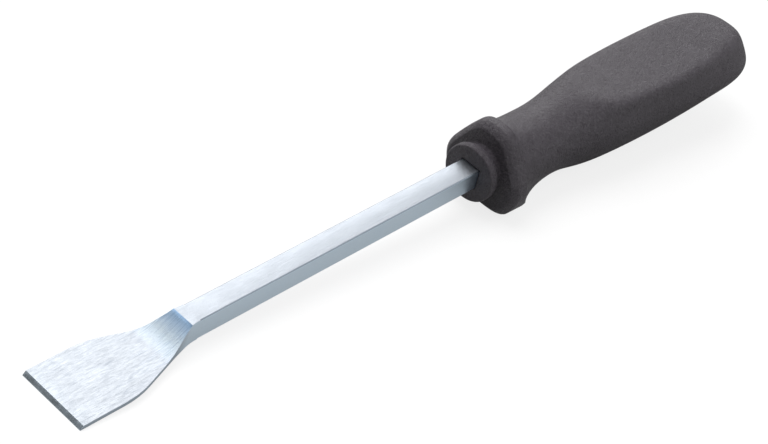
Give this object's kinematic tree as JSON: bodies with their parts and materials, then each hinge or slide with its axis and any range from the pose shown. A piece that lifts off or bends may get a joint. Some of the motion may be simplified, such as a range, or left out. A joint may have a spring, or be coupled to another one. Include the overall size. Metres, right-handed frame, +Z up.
{
  "type": "flat scraper",
  "caption": "Flat scraper: a flared, bevelled steel blade forged on a square bar, in a moulded six-sided handle with a flange, for lifting gaskets and old sealant.",
  "frame": {"origin": "on the floor, under the middle of the tool's bounding box, as it lies on its cutting edge and its flange", "axes": "+X along the tool from the cutting edge to the handle's tail, +Y across the blade, +Z up"},
  "size_m": [0.326, 0.0374, 0.0326],
  "materials": {
    "steel": "bright zinc plate with forging and grinding marks",
    "handle_plastic": "matt black, fine moulded texture"
  },
  "bodies": {
    "root": {"blade": "steel", "handle": "handle_plastic"}
  },
  "joints": []
}
